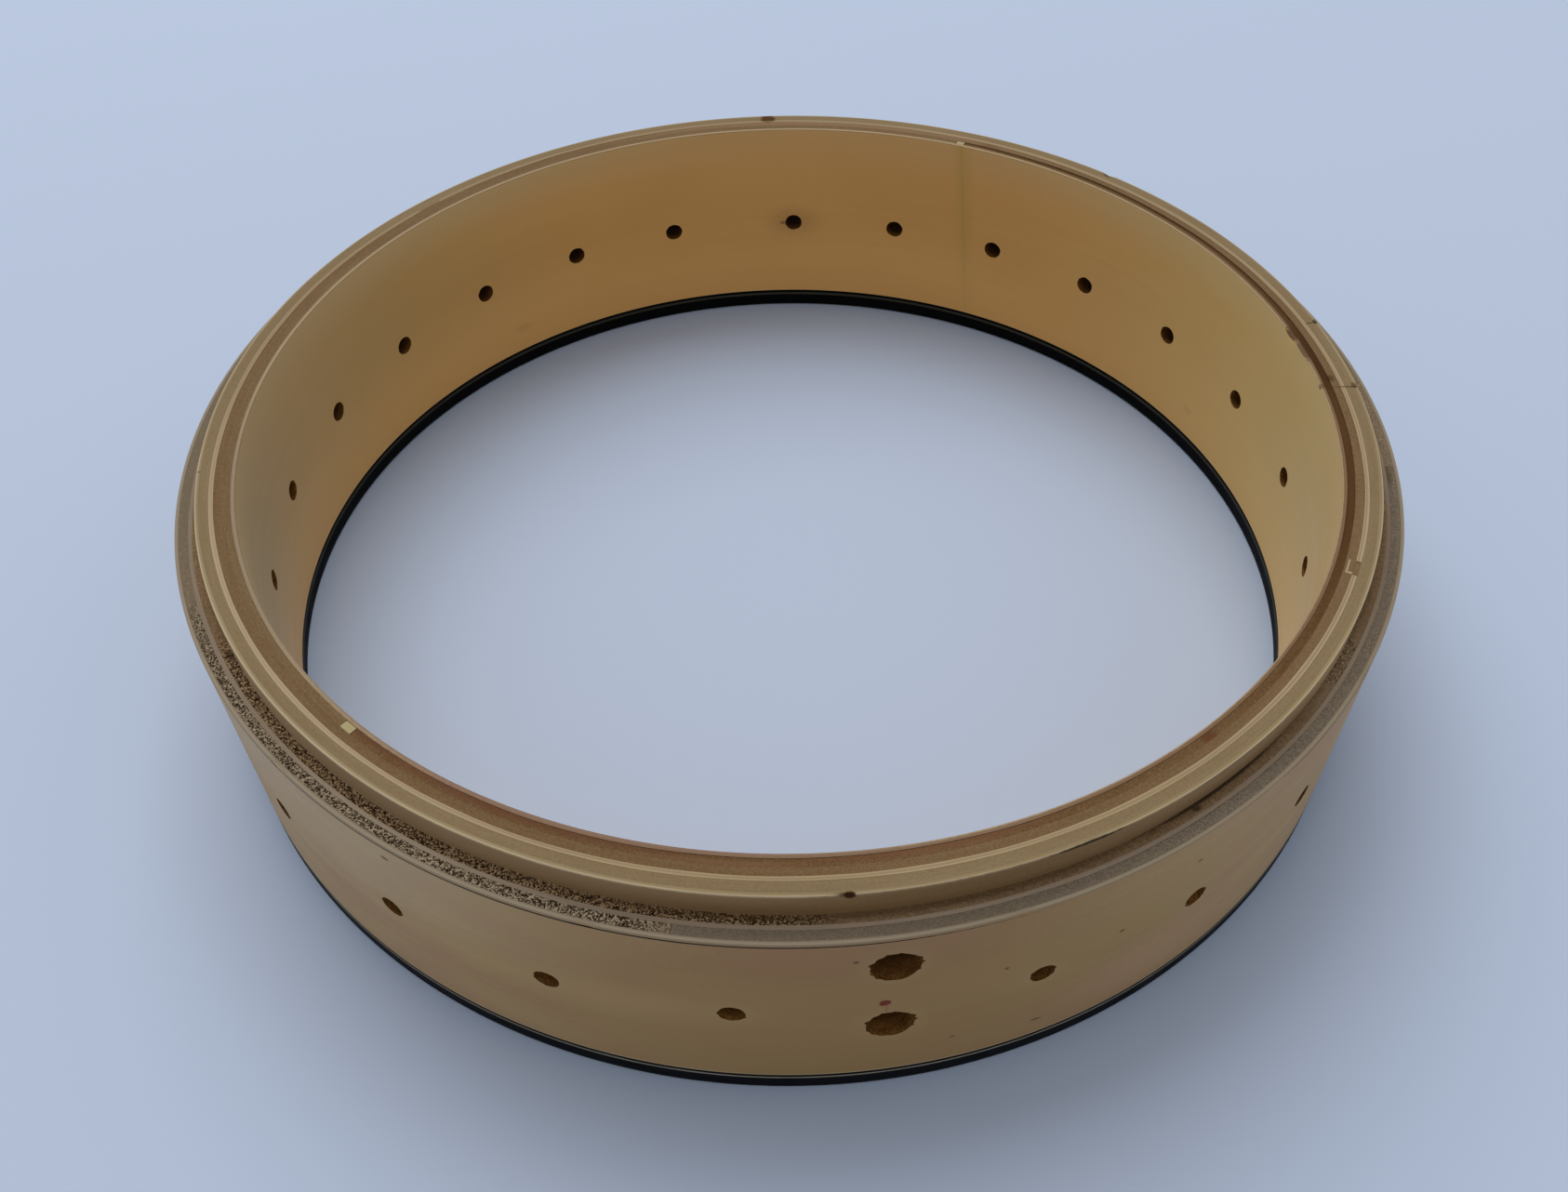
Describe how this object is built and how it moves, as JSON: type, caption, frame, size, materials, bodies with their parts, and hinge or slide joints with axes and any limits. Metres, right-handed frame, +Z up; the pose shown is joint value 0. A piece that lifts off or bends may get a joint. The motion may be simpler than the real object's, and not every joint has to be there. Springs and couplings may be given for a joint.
{
  "type": "banjo rim",
  "caption": "Laminated wooden banjo rim with a raised bearing ridge, a lower outer ledge, bracket holes, neck bolt holes and a black and white bottom binding.",
  "frame": {"origin": "centre of the hoop, on the plane of the bottom of its black binding", "axes": "+Z up along the hoop's axis, towards the bearing ridge; -Y towards the neck bolt holes; +Y towards the tail"},
  "size_m": [0.2792, 0.2791, 0.0615],
  "materials": {
    "lacquered_maple": "satin amber lacquer over maple face veneer",
    "stained_end_grain": "raw, dark stained end grain",
    "brown_end_grain": "raw, fine brown end grain",
    "tan_end_grain": "raw, fine tan end grain",
    "pale_long_grain": "raw, pale edge of a long-grain ply",
    "rough_end_grain": "raw, torn and speckled end grain",
    "grey_end_grain": "raw, smoother grey end grain",
    "black_binding": "satin black",
    "white_binding": "satin white"
  },
  "bodies": {
    "root": {"inner_face_veneer": "lacquered_maple", "inner_ply_sunk_arc": "stained_end_grain", "inner_ply_flush_arc": "brown_end_grain", "inner_ply_start_block": "pale_long_grain", "inner_ply_seam_block": "pale_long_grain", "middle_cross_ply": "brown_end_grain", "ridge_long_ply": "pale_long_grain", "ridge_gap_wedge": "brown_end_grain", "ridge_ply_folded_end": "pale_long_grain", "ridge_cross_ply": "tan_end_grain", "ridge_cross_splice": "tan_end_grain", "ridge_edge_ply_front": "pale_long_grain", "ridge_edge_ply_back": "pale_long_grain", "ridge_edge_splice": "pale_long_grain", "ledge_cross_ply": "rough_end_grain", "ledge_long_ply": "pale_long_grain", "outer_ply_smooth_arc": "grey_end_grain", "outer_ply_rough_arc": "rough_end_grain", "outer_face_veneer": "lacquered_maple", "binding_black_line": "black_binding", "binding_white_line": "white_binding", "binding_black_cap": "black_binding"}
  },
  "joints": []
}
